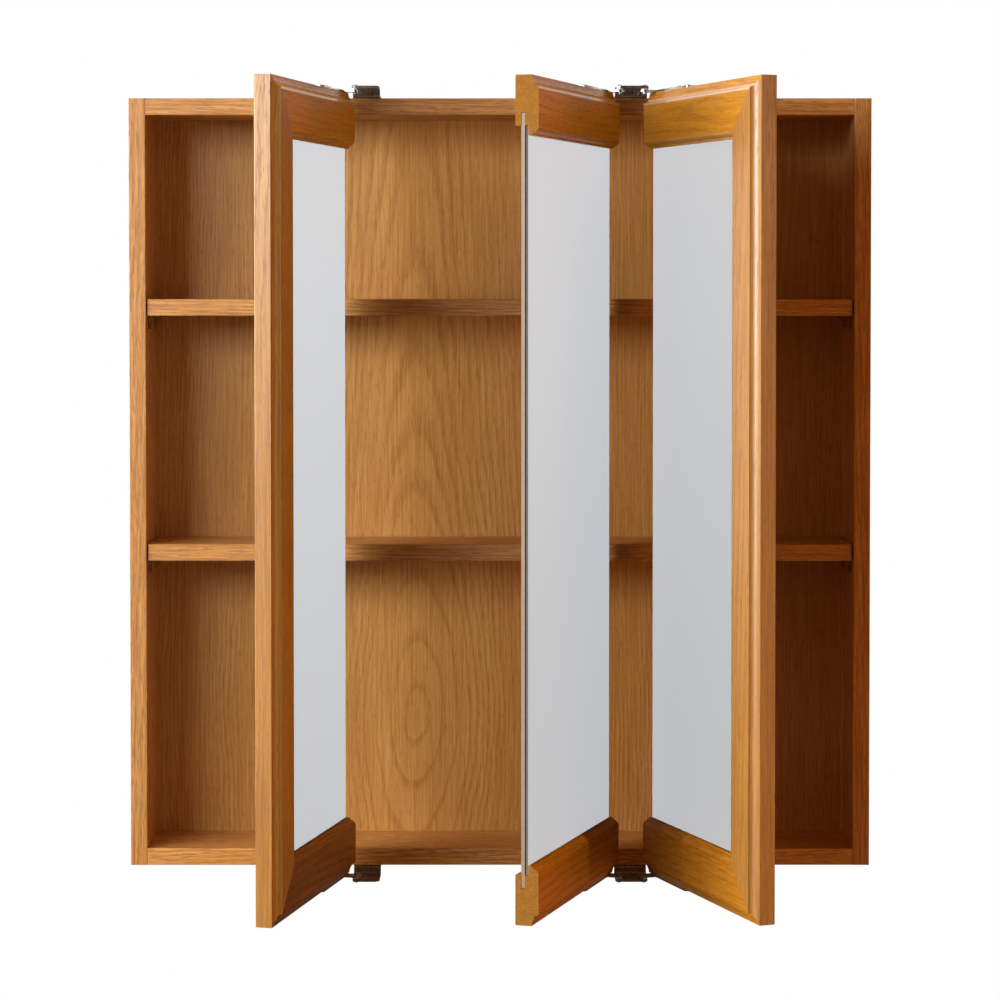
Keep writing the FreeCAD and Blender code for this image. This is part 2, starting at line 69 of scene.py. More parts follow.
camera_data = bpy.data.cameras.new("camera")
camera_data.lens = LENS
camera_data.shift_y = LENS_SHIFT
camera = bpy.data.objects.new("camera", camera_data)
camera.location = CAMERA_PLACE
camera.rotation_euler = (math.pi / 2 - TILT, 0.0, 0.0)
bpy.context.scene.collection.objects.link(camera)
bpy.context.scene.camera = camera
print("camera is", round(-CAMERA_PLACE.y, 3), "m in front of the wall")

# %% [markdown]
# ## Node helpers
#
# Materials here are built in code, and every node takes several lines to add, set and link. A
# few small helpers keep that readable. Their inputs may be numbers or sockets, so a plain value
# can later be swapped for a pattern without changing the call.


# %% Node helpers
def add_node(tree, kind, **inputs):
    """Add a node; inputs are set by socket name, with spaces written as underscores."""
    node = tree.nodes.new(kind)
    for name, value in inputs.items():
        feed(tree, node.inputs[name.replace("_", " ")], value)
    return node


def feed(tree, socket, value):
    """Link a socket to the input, or set the input to a number, colour or vector."""
    if isinstance(value, bpy.types.NodeSocket):
        tree.links.new(value, socket)
    else:
        socket.default_value = value


def math_node(tree, operation, *values, clamp=False):
    """A Math node's result for numbers or sockets."""
    node = tree.nodes.new("ShaderNodeMath")
    node.operation = operation
    node.use_clamp = clamp
    for socket, value in zip(node.inputs, values):
        feed(tree, socket, value)
    return node.outputs["Value"]


def product(tree, first, *others):
    """Several masks multiplied together."""
    for other in others:
        first = math_node(tree, "MULTIPLY", first, other)
    return first


def inverse(tree, mask):
    """1 where the mask is 0, and 0 where it is 1."""
    return math_node(tree, "SUBTRACT", 1.0, mask)


def separate(tree, vector):
    """The X, Y and Z of a vector."""
    return add_node(tree, "ShaderNodeSeparateXYZ", Vector=vector).outputs


def mix_colour(tree, factor, first, second, blend="MIX"):
    """Two colours mixed by a factor."""
    node = tree.nodes.new("ShaderNodeMix")
    node.data_type = "RGBA"
    node.blend_type = blend
    feed(tree, node.inputs["Factor"], factor)
    feed(tree, node.inputs["A"], first)
    feed(tree, node.inputs["B"], second)
    return node.outputs["Result"]


def smooth_step(tree, value, low, high):
    """0 below low, 1 above high and a smooth rise between; it falls where low is the larger."""
    node = tree.nodes.new("ShaderNodeMapRange")
    node.interpolation_type = "SMOOTHSTEP"
    feed(tree, node.inputs["Value"], value)
    feed(tree, node.inputs["From Min"], low)
    feed(tree, node.inputs["From Max"], high)
    return node.outputs["Result"]


# %% Pattern and material helpers
def noise(tree, vector, scale, detail=2.0, roughness=0.5):
    """Noise between 0 and 1."""
    node = add_node(tree, "ShaderNodeTexNoise", Vector=vector, Scale=scale)
    node.inputs["Detail"].default_value = detail
    node.inputs["Roughness"].default_value = roughness
    return node.outputs["Fac"]


def drawn_noise(tree, vector, stretch, detail=2.0, roughness=0.5):
    """Noise with a scale for each axis, to draw it out along the grain."""
    scaled = add_node(tree, "ShaderNodeMapping", Vector=vector, Scale=stretch)
    return noise(tree, scaled.outputs["Vector"], 1.0, detail, roughness)


def object_place(tree):
    """The place on the piece, in metres."""
    return tree.nodes.new("ShaderNodeTexCoord").outputs["Object"]


def new_material(name):
    """An empty material with its Principled shader."""
    material = bpy.data.materials.new(name)
    material.use_nodes = True
    tree = material.node_tree
    return material, tree, tree.nodes["Principled BSDF"]


def dress(material, *names):
    """Give CAD pieces a finish."""
    for name in names:
        slots = nodes[name].data.materials
        slots.clear()
        slots.append(material)
    print(material.name, "on", len(names), "pieces")


# %% [markdown]
# ## Surroundings
#
# The photograph is a studio picture on white. A white world would give the background, but its
# light would wash out the wood. The Light Path node lets one world answer three rays apart. The
# camera sees white. Shiny surfaces see a white backdrop behind the cabinet, a dim room in front
# of it and, front right, a pale panel that gives a sheen. All other rays see a dim warm room,
# brighter above than below, with a greyer backdrop, so the wood gets only a little light from it.

# %% World values
WHITE = (1.0, 1.0, 1.0, 1.0)
ROOM_ABOVE = (0.24, 0.09, 0.016, 1.0)
ROOM_BELOW = (0.035, 0.013, 0.003, 1.0)
BACKDROP_LIGHT = (0.30, 0.27, 0.24, 1.0)
SIDE_PANEL = (0.75, 0.88, 0.98, 1.0)
FRONT_DIMMING = (0.35, 0.35, 0.35, 1.0)
LOWER_SHARE = 0.03

# A pair says where along an axis of the ray's direction a part of the room fades in.
ROOM_Z = (-0.5, 0.6)
UPPER_Z = (0.0, 0.3)
BACKDROP_LIGHT_Y = (0.15, 0.7)
BACKDROP_SEEN_Y = (-0.1, 0.4)
FRONT_Y = (0.1, -0.3)
PANEL_X = (0.4, 0.6)
PANEL_Y = (-0.3, -0.5)
PANEL_Z = (-0.14, -0.01)
print("room light runs from", ROOM_BELOW[:3], "below to", ROOM_ABOVE[:3], "above")

# %% World
world = bpy.data.worlds.new("studio")
bpy.context.scene.world = world
world.use_nodes = True
tree = world.node_tree
rays = tree.nodes.new("ShaderNodeLightPath").outputs
axes = separate(tree, tree.nodes.new("ShaderNodeTexCoord").outputs["Generated"])
upper = smooth_step(tree, axes["Z"], *UPPER_Z)
upper = math_node(tree, "MULTIPLY_ADD", upper, 1.0 - LOWER_SHARE, LOWER_SHARE)
behind = product(tree, smooth_step(tree, axes["Y"], *BACKDROP_LIGHT_Y), upper)
front = product(tree, smooth_step(tree, axes["Y"], *FRONT_Y), rays["Is Glossy Ray"])
panel = product(
    tree,
    rays["Is Glossy Ray"],
    smooth_step(tree, axes["X"], *PANEL_X),
    smooth_step(tree, axes["Y"], *PANEL_Y),
    smooth_step(tree, axes["Z"], *PANEL_Z),
)
room = mix_colour(tree, smooth_step(tree, axes["Z"], *ROOM_Z), ROOM_BELOW, ROOM_ABOVE)
room = mix_colour(tree, behind, room, BACKDROP_LIGHT)
room = mix_colour(tree, front, room, FRONT_DIMMING, "MULTIPLY")
room = mix_colour(tree, panel, room, SIDE_PANEL)
shiny = math_node(tree, "MAXIMUM", rays["Is Glossy Ray"], rays["Is Transmission Ray"])
backdrop = product(tree, shiny, smooth_step(tree, axes["Y"], *BACKDROP_SEEN_Y), upper)
seen = math_node(tree, "MAXIMUM", rays["Is Camera Ray"], backdrop)
feed(tree, tree.nodes["Background"].inputs["Color"], mix_colour(tree, seen, room, WHITE))
print("world has", len(tree.nodes), "nodes")

# %% [markdown]
# ## Floor
#
# The cabinet hangs on a wall, so the floor is a long way below it and out of the picture. Other
# views show it: it keeps the cabinet's shadow and fades into the white towards its rim. Its
# colour is a little blue, because the warm room light would otherwise tint it. To bounced and
# reflected rays it is dim, so that it doesn't light the wood from below.

# %% Floor shape
FLOOR_DROP = 1.6
FLOOR_RADIUS = 4.0
FLOOR_SEGMENTS = 96

mesh = bpy.data.meshes.new("floor")
shape = bmesh.new()
bmesh.ops.create_circle(shape, cap_ends=True, segments=FLOOR_SEGMENTS, radius=FLOOR_RADIUS)
bmesh.ops.translate(shape, verts=shape.verts, vec=(0.0, 0.0, -FLOOR_DROP))
shape.to_mesh(mesh)
shape.free()
floor = bpy.data.objects.new("floor", mesh)
bpy.context.scene.collection.objects.link(floor)
print("floor lies", FLOOR_DROP, "m below the cabinet's middle")

# %% Floor finish
FLOOR_BLUE = (0.62, 0.76, 0.82, 1.0)
FLOOR_PALE = (0.65, 0.80, 0.86, 1.0)
FLOOR_BOUNCE = (0.16, 0.13, 0.10, 1.0)
FLOOR_RIM = 1.2
FLOOR_ROUGHNESS = 0.8
DUST_SCALE = 3.0
MIDDLE_GLOW = 0.5
REFLECTED_GLOW = 0.05
LEVEL = (1.0, 1.0, 0.0)

material, tree, shader = new_material("pale_floor")
place = object_place(tree)
flat = add_node(tree, "ShaderNodeVectorMath", Vector=place)
flat.operation = "MULTIPLY"
flat.inputs[1].default_value = LEVEL
radius = add_node(tree, "ShaderNodeVectorMath", Vector=flat.outputs["Vector"])
radius.operation = "LENGTH"
rim = smooth_step(tree, radius.outputs["Value"], FLOOR_RIM, FLOOR_RADIUS)
glow = math_node(tree, "MULTIPLY_ADD", rim, 1.0 - MIDDLE_GLOW, MIDDLE_GLOW)
rays = tree.nodes.new("ShaderNodeLightPath").outputs
shiny = math_node(tree, "MAXIMUM", rays["Is Glossy Ray"], rays["Is Transmission Ray"])
seen = math_node(tree, "MAXIMUM", rays["Is Camera Ray"], product(tree, shiny, REFLECTED_GLOW))
bounced = math_node(tree, "MAXIMUM", rays["Is Diffuse Ray"], rays["Is Glossy Ray"])
dust = mix_colour(tree, noise(tree, place, DUST_SCALE), FLOOR_BLUE, FLOOR_PALE)
feed(tree, shader.inputs["Base Color"], mix_colour(tree, bounced, dust, FLOOR_BOUNCE))
shader.inputs["Roughness"].default_value = FLOOR_ROUGHNESS
shader.inputs["Emission Color"].default_value = WHITE
feed(tree, shader.inputs["Emission Strength"], product(tree, seen, glow))
mesh.materials.append(material)
print("floor fades to white from", FLOOR_RIM, "to", FLOOR_RADIUS, "m")

# %% [markdown]
# ## Lamps
#
# Two wide soft lamps stand front left. They light the left edges of the wood and reach through
# the left opening along the back panel. The open doors throw the right-hand side into shadow,
# and a weak warm lamp on the right keeps that shadow from going black. Light linking lets a lamp
# leave pieces out: none of these three shines on the glass, which is lit apart, and the warm one
# also spares the floor, the steel and the left door's bottom rail, which it would turn orange.


# %% Lamp helpers
LAMP_DISTANCE = 3.0


def soft_lamp(name, azimuth, elevation, size, power, colour=(1.0, 1.0, 1.0)):
    """A rectangular area lamp aimed at the cabinet; azimuth 0 is straight in front, right is positive."""
    data = bpy.data.lights.new(name, "AREA")
    data.shape = "RECTANGLE"
    data.size = size[0]
    data.size_y = size[1]
    data.energy = power
    data.color = colour
    lamp = bpy.data.objects.new(name, data)
    turn = math.radians(azimuth)
    lift = math.radians(elevation)
    place = Vector((math.sin(turn) * math.cos(lift), -math.cos(turn) * math.cos(lift), math.sin(lift)))
    lamp.location = place * LAMP_DISTANCE
    lamp.rotation_euler = place.to_track_quat("Z", "Y").to_euler()
    bpy.context.scene.collection.objects.link(lamp)
    print(name, "at", [round(value, 2) for value in lamp.location])
    return lamp


def light_group(name, pieces, state):
    """Pieces that a lamp takes in or leaves out."""
    pieces_group = bpy.data.collections.new(name)
    for piece in pieces:
        pieces_group.objects.link(piece)
    for member in pieces_group.collection_objects:
        member.light_linking.link_state = state
    return pieces_group


# %% Lamps
WARM = (1.0, 0.42, 0.06)

key_lamp = soft_lamp("key_lamp", azimuth=-37.5, elevation=17.0, size=(1.45, 1.0), power=45.0)
side_lamp = soft_lamp("side_lamp", azimuth=-65.0, elevation=8.0, size=(1.5, 1.0), power=83.0)
warm_lamp = soft_lamp("warm_lamp", azimuth=66.0, elevation=-12.0, size=(1.4, 1.4), power=25.0, colour=WARM)

mirrors = {door: nodes[f"{door}_mirror"] for door in door_turn}
steel = [name for name in nodes if "_bracket" in name or "_leaf_" in name or "_pin_" in name]
steel.append("bracket_screws")
all_but_mirrors = light_group("all_but_mirrors", mirrors.values(), "EXCLUDE")
unwarmed = [*mirrors.values(), floor, nodes["left_door_bottom_rail"], *[nodes[name] for name in steel]]
key_lamp.light_linking.receiver_collection = all_but_mirrors
side_lamp.light_linking.receiver_collection = all_but_mirrors
warm_lamp.light_linking.receiver_collection = light_group("unwarmed", unwarmed, "EXCLUDE")
print("the warm lamp leaves out", len(unwarmed), "pieces")

# %% [markdown]
# ## Lamps for the doors
#
# Real mirrors would show the room. In the photograph they are an even pale grey, so each one
# gets a sun that is linked to that piece alone and casts no shadow. The rails and the left stile
# face away from the soft lamps or stand in another door's shadow, and would be too dark, so they
# get weak suns of their own too. The suns on the bottom rails come from high up and do cast
# shadows. All their strengths are set for doors that stand open, and shut doors look a little
# uneven. The glass hands no light on to the wood.

# %% Door lamp values
MIRROR_LIGHT = {
    "left_door": (0.905, 0.95, 0.965),
    "middle_door": (0.905, 0.905, 0.915),
    "right_door": (0.87, 0.87, 0.87),
}
TOP_RAIL_LIGHT = {
    "left_door": (0.172, 0.141, 0.02),
    "middle_door": (0.115, 0.109, 0.02),
    "right_door": (0.234, 0.27, 0.3),
}
BOTTOM_RAIL_LIGHT = {
    "left_door": (0.03, 0.01, 0.0),
    "middle_door": (0.26, 0.175, 0.025),
    "right_door": (0.17, 0.10, 0.015),
}
LEFT_STILE_LIGHT = (0.03, 0.045, 0.0)
SUN_SLANT = math.radians(25.0)
BOTTOM_RAIL_LIFT = math.radians(68.0)
print("door suns slant by", round(math.degrees(SUN_SLANT)), "degrees")


# %% Door lamps
def door_sun(door, piece, light, lift=0.0):
    """A sun for one piece of an open door, from a little to the front; only a lifted one casts shadows."""
    data = bpy.data.lights.new(piece + "_sun", "SUN")
    data.color = light
    data.energy = math.pi / math.cos(SUN_SLANT)
    data.use_shadow = lift > 0.0
    sun = bpy.data.objects.new(piece + "_sun", data)
    turn = door_turn[door] - math.copysign(SUN_SLANT, door_turn[door])
    level = Vector((math.sin(turn), -math.cos(turn), 0.0))
    towards = level * math.cos(lift) + Vector((0.0, 0.0, math.sin(lift)))
    sun.rotation_euler = towards.to_track_quat("Z", "Y").to_euler()
    bpy.context.scene.collection.objects.link(sun)
    sun.light_linking.receiver_collection = light_group(piece + "_only", [nodes[piece]], "INCLUDE")
    print(sun.name, "shines along", [round(value, 2) for value in -towards])


for door in door_turn:
    door_sun(door, f"{door}_mirror", MIRROR_LIGHT[door])
    door_sun(door, f"{door}_top_rail", TOP_RAIL_LIGHT[door])
    door_sun(door, f"{door}_bottom_rail", BOTTOM_RAIL_LIGHT[door], BOTTOM_RAIL_LIFT)
    mirrors[door].visible_diffuse = False
door_sun("left_door", "left_door_stile", LEFT_STILE_LIGHT)

# %% [markdown]
# ## Oak figure
#
# A board shows the growth rings of the tree, cut along the trunk. If the rings are cylinders
# whose axis leans a little away from the board's face, the cut shows long nested arches, which
# joiners call the cathedral figure. So the distance from a leaning axis, cut into steps, gives
# the rings, and Ring Line says how far the dark line at the start of a ring fades into it. Away
# from the axis a second line falls between each two. Taper flattens the lean far from the middle
# and Crowding packs the outer rings, because a trunk is no perfect cylinder. Noise stretched
# along the grain adds streaks, and the short dark dashes of the pores gather where a ring
# begins. The group takes coordinates in metres with the grain along Z.

# %% Oak figure group: sockets
FIGURE_VALUES = {
    "Lean": 0.04,
    "Taper": 0.0,
    "Ring Width": 0.006,
    "Ring Shift": 0.0,
    "Crowding": 0.0,
    "Wander": 0.012,
    "Ring Strength": 0.3,
    "Ring Line": 0.5,
    "Streak Strength": 2.8,
    "Pore Strength": 0.7,
}


def add_sockets(group, in_out, kind, *names):
    """Sockets of one kind on a node group."""
    for name in names:
        group.interface.new_socket(name, in_out=in_out, socket_type="NodeSocket" + kind)


group = bpy.data.node_groups.new("oak_figure", "ShaderNodeTree")
for name, value in FIGURE_VALUES.items():
    socket = group.interface.new_socket(name, in_out="INPUT", socket_type="NodeSocketFloat")
    socket.default_value = value
add_sockets(group, "INPUT", "Vector", "Vector")
add_sockets(group, "INPUT", "Color", "Pale", "Deep", "Pore")
add_sockets(group, "OUTPUT", "Color", "Color")
add_sockets(group, "OUTPUT", "Float", "Roughness", "Height")
given = group.nodes.new("NodeGroupInput").outputs
result = group.nodes.new("NodeGroupOutput").inputs
print("oak figure has", len(FIGURE_VALUES), "values to set")

# %% Oak figure group: distance from the leaning axis
SWAY_STRETCH = (9.0, 9.0, 2.2)
RIPPLE_STRETCH = (60.0, 60.0, 14.0)
RIPPLE_SHARE = 0.25
SWAY_MIDDLE = 0.62

grain = given["Vector"]
sway = drawn_noise(group, grain, SWAY_STRETCH, detail=3.0)
ripple = drawn_noise(group, grain, RIPPLE_STRETCH)
sway = math_node(group, "MULTIPLY_ADD", ripple, RIPPLE_SHARE, sway)
sway = product(group, math_node(group, "SUBTRACT", sway, SWAY_MIDDLE), given["Wander"])
axes = separate(group, grain)
across = math_node(group, "ADD", axes["X"], sway)
along = math_node(group, "ABSOLUTE", axes["Z"])
taper = math_node(group, "MULTIPLY_ADD", along, given["Taper"], 1.0)
lean = math_node(group, "DIVIDE", given["Lean"], taper)
depth = math_node(group, "MULTIPLY_ADD", axes["Z"], lean, axes["Y"])
depth_squared = product(group, depth, depth)
radius_squared = math_node(group, "MULTIPLY_ADD", across, across, depth_squared)
radius = math_node(group, "SQRT", radius_squared)
packed = math_node(group, "MULTIPLY_ADD", radius_squared, given["Crowding"], radius)
shifted = math_node(group, "ADD", packed, given["Ring Shift"])
count = math_node(group, "DIVIDE", shifted, given["Ring Width"])
print("distance takes", len(group.nodes), "nodes")

# %% Oak figure group: ring lines
RING_RISE = (0.9, 1.0)
HALFWAY = 0.5
HALF_RINGS_FROM = (0.045, 0.06)


def ring_lines(tree, count, line):
    """A dark line where each ring begins, fading into the ring."""
    step = math_node(tree, "FRACT", count)
    fade = inverse(tree, smooth_step(tree, step, 0.0, line))
    return math_node(tree, "MAXIMUM", fade, smooth_step(tree, step, *RING_RISE))


between = ring_lines(group, math_node(group, "ADD", count, HALFWAY), given["Ring Line"])
between = product(group, between, smooth_step(group, radius, *HALF_RINGS_FROM))
ring = math_node(group, "MAXIMUM", ring_lines(group, count, given["Ring Line"]), between)
print("with the rings it has", len(group.nodes), "nodes")

# %% Oak figure group: streaks and pores
STREAK_STRETCH = (560.0, 560.0, 13.0)
PATCH_STRETCH = (24.0, 24.0, 2.4)
PORE_STRETCH = (900.0, 900.0, 80.0)
STREAK_ROUGHNESS = 0.6
RING_PATCH = (0.25, 0.6)
PORE_GATHERING = 0.14
PORE_EDGE = (0.54, 0.74)

streak = drawn_noise(group, grain, STREAK_STRETCH, roughness=STREAK_ROUGHNESS)
patch = drawn_noise(group, grain, PATCH_STRETCH)
dash = drawn_noise(group, grain, PORE_STRETCH, detail=1.0)
ring = product(group, ring, smooth_step(group, patch, *RING_PATCH))
gathered = math_node(group, "MULTIPLY_ADD", ring, PORE_GATHERING, dash)
pore = product(group, smooth_step(group, gathered, *PORE_EDGE), given["Pore Strength"])
print("with streaks and pores it has", len(group.nodes), "nodes")

# %% Oak figure group: colour, roughness and height
NOISE_MIDDLE = 0.5
MIDDLE_TONE = 0.6
PATCH_SHARE = 0.7
WOOD_ROUGHNESS = 0.38
PORE_ROUGHER = 0.3
RING_DIP = -0.2

streak_tone = math_node(group, "SUBTRACT", streak, NOISE_MIDDLE)
patch_tone = math_node(group, "SUBTRACT", patch, NOISE_MIDDLE)
tone = math_node(group, "MULTIPLY_ADD", streak_tone, given["Streak Strength"], MIDDLE_TONE)
tone = math_node(group, "MULTIPLY_ADD", patch_tone, PATCH_SHARE, tone)
ring_tone = product(group, ring, given["Ring Strength"])
tone = math_node(group, "SUBTRACT", tone, ring_tone, clamp=True)
wood = mix_colour(group, tone, given["Deep"], given["Pale"])
height = math_node(group, "MULTIPLY_ADD", ring, RING_DIP, inverse(group, pore))
feed(group, result["Color"], mix_colour(group, pore, wood, given["Pore"]))
feed(group, result["Roughness"], math_node(group, "MULTIPLY_ADD", pore, PORE_ROUGHER, WOOD_ROUGHNESS))
feed(group, result["Height"], height)
print("oak figure has", len(group.nodes), "nodes")

# %% [markdown]
# ## Oak on the case
#
# Each board gets its own cut of the figure. A Mapping node of the Texture kind places an
# imagined plank: its rotation turns the grain along the board, and its location says where on
# the board the rings have their centre. A location off to one side leaves straight grain. A
# satin lacquer lies over the wood, with the pores as fine relief.

# %% Oak helpers
LACQUER_GLOSS = 0.65
LACQUER_IOR = 1.6
RELIEF_STRENGTH = 0.5
RELIEF_DEPTH = 0.00012


def plank(tree, turn, centre):
    """Object coordinates laid along an imagined plank."""
    mapping = add_node(tree, "ShaderNodeMapping", Vector=object_place(tree), Location=centre, Rotation=turn)
    mapping.vector_type = "TEXTURE"
    return mapping.outputs["Vector"]


def add_figure(tree, vector, **values):
    """An oak figure group fed with a plank's coordinates."""
    node = tree.nodes.new("ShaderNodeGroup")
    node.node_tree = bpy.data.node_groups["oak_figure"]
    feed(tree, node.inputs["Vector"], vector)
    for name, value in values.items():
        feed(tree, node.inputs[name.replace("_", " ")], value)
    return node.outputs


def finish_wood(tree, shader, colour, roughness, height, gloss=LACQUER_GLOSS, under=None):
    """A satin lacquer over a colour, with the height as fine relief on top of a coarser normal."""
    feed(tree, shader.inputs["Base Color"], colour)
    feed(tree, shader.inputs["Roughness"], roughness)
    relief = add_node(tree, "ShaderNodeBump", Height=height, Strength=RELIEF_STRENGTH, Distance=RELIEF_DEPTH)
    if under:
        feed(tree, relief.inputs["Normal"], under)
    feed(tree, shader.inputs["Normal"], relief.outputs["Normal"])
    shader.inputs["Specular IOR Level"].default_value = gloss
    shader.inputs["IOR"].default_value = LACQUER_IOR


def oak(name, turn, centre, gloss=LACQUER_GLOSS, **values):
    """A board of oak."""
    material, tree, shader = new_material(name)
    figure = add_figure(tree, plank(tree, turn, centre), **values)
    finish_wood(tree, shader, figure["Color"], figure["Roughness"], figure["Height"], gloss)
    return material


# %% Case boards
ALONG_Z = (0.0, 0.0, 0.0)
ALONG_X = (0.0, math.pi / 2, 0.0)
OAK_PORE = (0.32, 0.138, 0.036, 1.0)
OAK_TONES = dict(Pale=(0.73, 0.365, 0.108, 1.0), Deep=(0.44, 0.178, 0.028, 1.0), Pore=OAK_PORE)
# The bottom board is paler than the others: painted light, for a top that catches more light.
BOTTOM_PAINTED_LIGHT_TONES = dict(Pale=(0.80, 0.395, 0.10, 1.0), Deep=(0.48, 0.193, 0.027, 1.0), Pore=OAK_PORE)

# For each board: material, grain direction, centre of the rings, ring width and tones.
CASE_BOARDS = {
    "left_side_panel": ("oak_left_side", ALONG_Z, (-0.50, 0.11, 0.2), 0.006, OAK_TONES),
    "right_side_panel": ("oak_right_side", ALONG_Z, (0.52, 0.14, -0.3), 0.0065, OAK_TONES),
    "top_panel": ("oak_top", ALONG_X, (0.1, 0.05, 0.46), 0.005, OAK_TONES),
    "bottom_panel": ("oak_bottom", ALONG_X, (-0.2, 0.04, -0.46), 0.005, BOTTOM_PAINTED_LIGHT_TONES),
    "upper_shelf": ("oak_upper_shelf", ALONG_X, (0.3, 0.03, 0.30), 0.005, OAK_TONES),
    "lower_shelf": ("oak_lower_shelf", ALONG_X, (-0.1, 0.03, 0.10), 0.005, OAK_TONES),
}
for node, (name, turn, centre, ring_width, tones) in CASE_BOARDS.items():
    dress(oak(name, turn, centre, Ring_Width=ring_width, **tones), node)

# %% [markdown]
# ## Oak veneer on the back
#
# The thin back panel is veneered, and the photograph shows one wide cathedral figure on it. The
# axis leans far here, so a few broad arches fill the panel, and their lines are thin.

# %% Back panel
VENEER_GLOSS = 0.5
VENEER_CENTRE = (-0.085, 0.0, -0.251)
VENEER_RINGS = dict(
    Lean=0.48,
    Taper=4.2,
    Ring_Width=0.0166,
    Ring_Shift=0.0042,
    Crowding=2.7,
    Wander=0.032,
    Ring_Strength=0.32,
    Ring_Line=0.26,
)
VENEER_GRAIN = dict(
    Streak_Strength=1.7,
    Pore_Strength=0.45,
    Pale=(0.66, 0.36, 0.105, 1.0),
    Deep=(0.42, 0.18, 0.026, 1.0),
    Pore=(0.31, 0.12, 0.02, 1.0),
)
dress(oak("oak_veneer", ALONG_Z, VENEER_CENTRE, VENEER_GLOSS, **VENEER_RINGS, **VENEER_GRAIN), "back_panel")

# %% [markdown]
# ## Fibre core
#
# Where a rail is cut square its end shows the core: pressed wood fibre, golden and finely
# speckled, with no grain. The boards behind the mirrors are pressed fibre too, so the speckle
# is a node group that both can use with colours of their own.

# %% Fibre speckle group
CLOUD_SCALE = 160.0
CLOUD_SHARE = 0.75
FLECK_SCALE = 850.0
FLECK_EDGE = (0.42, 0.66)
FLECK_SHARE = 0.45

group = bpy.data.node_groups.new("fibre_speckle", "ShaderNodeTree")
add_sockets(group, "INPUT", "Vector", "Vector")
add_sockets(group, "INPUT", "Color", "Pale", "Deep")
add_sockets(group, "OUTPUT", "Color", "Color")
add_sockets(group, "OUTPUT", "Float", "Height")
given = group.nodes.new("NodeGroupInput").outputs
result = group.nodes.new("NodeGroupOutput").inputs
cloud = product(group, noise(group, given["Vector"], CLOUD_SCALE, detail=3.0), CLOUD_SHARE)
fleck = smooth_step(group, noise(group, given["Vector"], FLECK_SCALE, detail=1.0), *FLECK_EDGE)
tone = math_node(group, "MULTIPLY_ADD", fleck, FLECK_SHARE, cloud, clamp=True)
feed(group, result["Color"], mix_colour(group, tone, given["Deep"], given["Pale"]))
feed(group, result["Height"], tone)
print("fibre speckle has", len(group.nodes), "nodes")


# %% Fibre speckle helper
def add_speckle(tree, pale, deep):
    """A fibre speckle group on Object coordinates."""
    node = tree.nodes.new("ShaderNodeGroup")
    node.node_tree = bpy.data.node_groups["fibre_speckle"]
    feed(tree, node.inputs["Vector"], object_place(tree))
    node.inputs["Pale"].default_value = pale
    node.inputs["Deep"].default_value = deep
    return node.outputs


# %% [markdown]
# ## Oak on the doors
#
# The grain follows each stick of the frame and turns with the open door, so places and surface
# normals are first turned into the door's own axes. All rails share one shade and all stiles
# another, so that the shut doors match; the stiles' extra blue partly stands in for a painted
# sheen. The normal tells the shader where a rail is cut square and shows its core. The bead along
# the top rails is in the solid, and on its front side a pale line is painted on as a highlight.
# Its crest is a little rounder than the solid's, which a Bump node adds.


# %% Door axes
def facing(tree, turn, axis):
    """How squarely the surface faces along an axis of a turned piece, from -1 to 1."""
    normal = tree.nodes.new("ShaderNodeTexCoord").outputs["Normal"]
    turned = add_node(tree, "ShaderNodeMapping", Vector=normal, Rotation=(0.0, 0.0, turn))
    turned.vector_type = "TEXTURE"
    return separate(tree, turned.outputs["Vector"])[axis]


def door_axes(node, turn):
    """The corners of a piece in its door's own axes."""
    unturn = Matrix.Rotation(-turn, 3, "Z")
    return [unturn @ vertex.co for vertex in nodes[node].data.vertices]


# %% Door frame tones
FRAME_PALE = (0.59, 0.275, 0.05)
FRAME_DEEP = (0.40, 0.155, 0.012)
FRAME_PORE = (0.26, 0.105, 0.02)
RAIL_SHADE = (1.08, 1.0, 0.4)
# The stiles' extra blue is partly their tone and partly a painted sheen.
STILE_TINT_WITH_SHEEN = (1.0, 1.03, 1.15)


def shaded(colour, shade):
    """A colour made lighter or darker, channel by channel."""
    return tuple(value * factor for value, factor in zip(colour, shade)) + (1.0,)


def frame_figure(tree, turn, grain_turn, centre, shade, **values):
    """The oak figure on a stick of an open door."""
    along = (grain_turn[0], grain_turn[1], turn)
    tones = dict(
        Pale=shaded(FRAME_PALE, shade),
        Deep=shaded(FRAME_DEEP, shade),
        Pore=shaded(FRAME_PORE, shade),
    )
    return add_figure(tree, plank(tree, along, centre), **tones, **values)


# %% Bead on a top rail
# A pale line painted on the bead as a highlight, on the front side only.
BEAD_HIGHLIGHT_COLOUR = (0.88, 0.60, 0.40, 1.0)
BEAD_HIGHLIGHT_SHARE = 0.7
HIGHLIGHT_SMOOTHER = -0.2
BACK_FACING = (0.3, 0.6)

# Depths below the upper edge of the rail, in metres.
BEAD_LOW = 0.0130
BEAD_LOW_FULL = 0.0115
BEAD_HIGH_FULL = 0.0078
BEAD_HIGH = 0.0068
CREST_TOP = 0.0102
CREST_FALL = 0.0026
CREST_DEPTH = 0.0016


